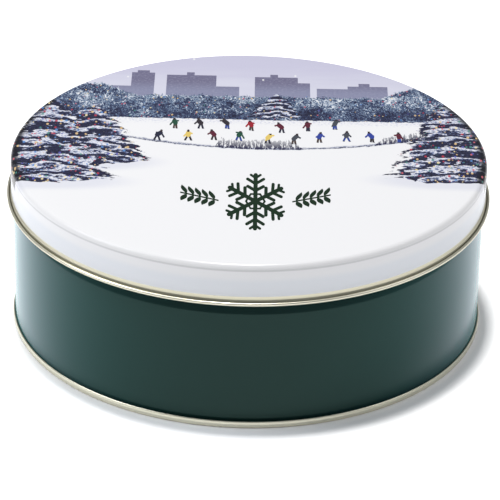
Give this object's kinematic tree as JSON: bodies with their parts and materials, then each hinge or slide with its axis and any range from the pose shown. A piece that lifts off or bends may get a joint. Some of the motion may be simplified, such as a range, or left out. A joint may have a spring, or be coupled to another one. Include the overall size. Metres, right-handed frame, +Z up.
{
  "type": "cookie tin",
  "caption": "Round pressed-tinplate cookie tin with a printed slip-on lid, a rolled body wall and a double-seamed recessed base.",
  "frame": {"origin": "centre of the underside, on the surface that the tin stands on", "axes": "+Z up along the tin's axis, the way the lid lifts off; +Y towards the wall's side seam at the back"},
  "size_m": [0.21, 0.21, 0.0766],
  "materials": {
    "lid_print": "satin white litho print",
    "body_green": "glossy dark green enamel",
    "tinplate": "bare warm-toned tinplate"
  },
  "bodies": {
    "body": {"body_wall": "body_green", "base_end": "tinplate"},
    "lid": {"lid": "lid_print"}
  },
  "joints": [
    {"name": "lid_lift", "type": "slide", "parent": "body", "child": "lid", "axis": [0, 0, 1], "range_m": [0, 0.08]}
  ]
}
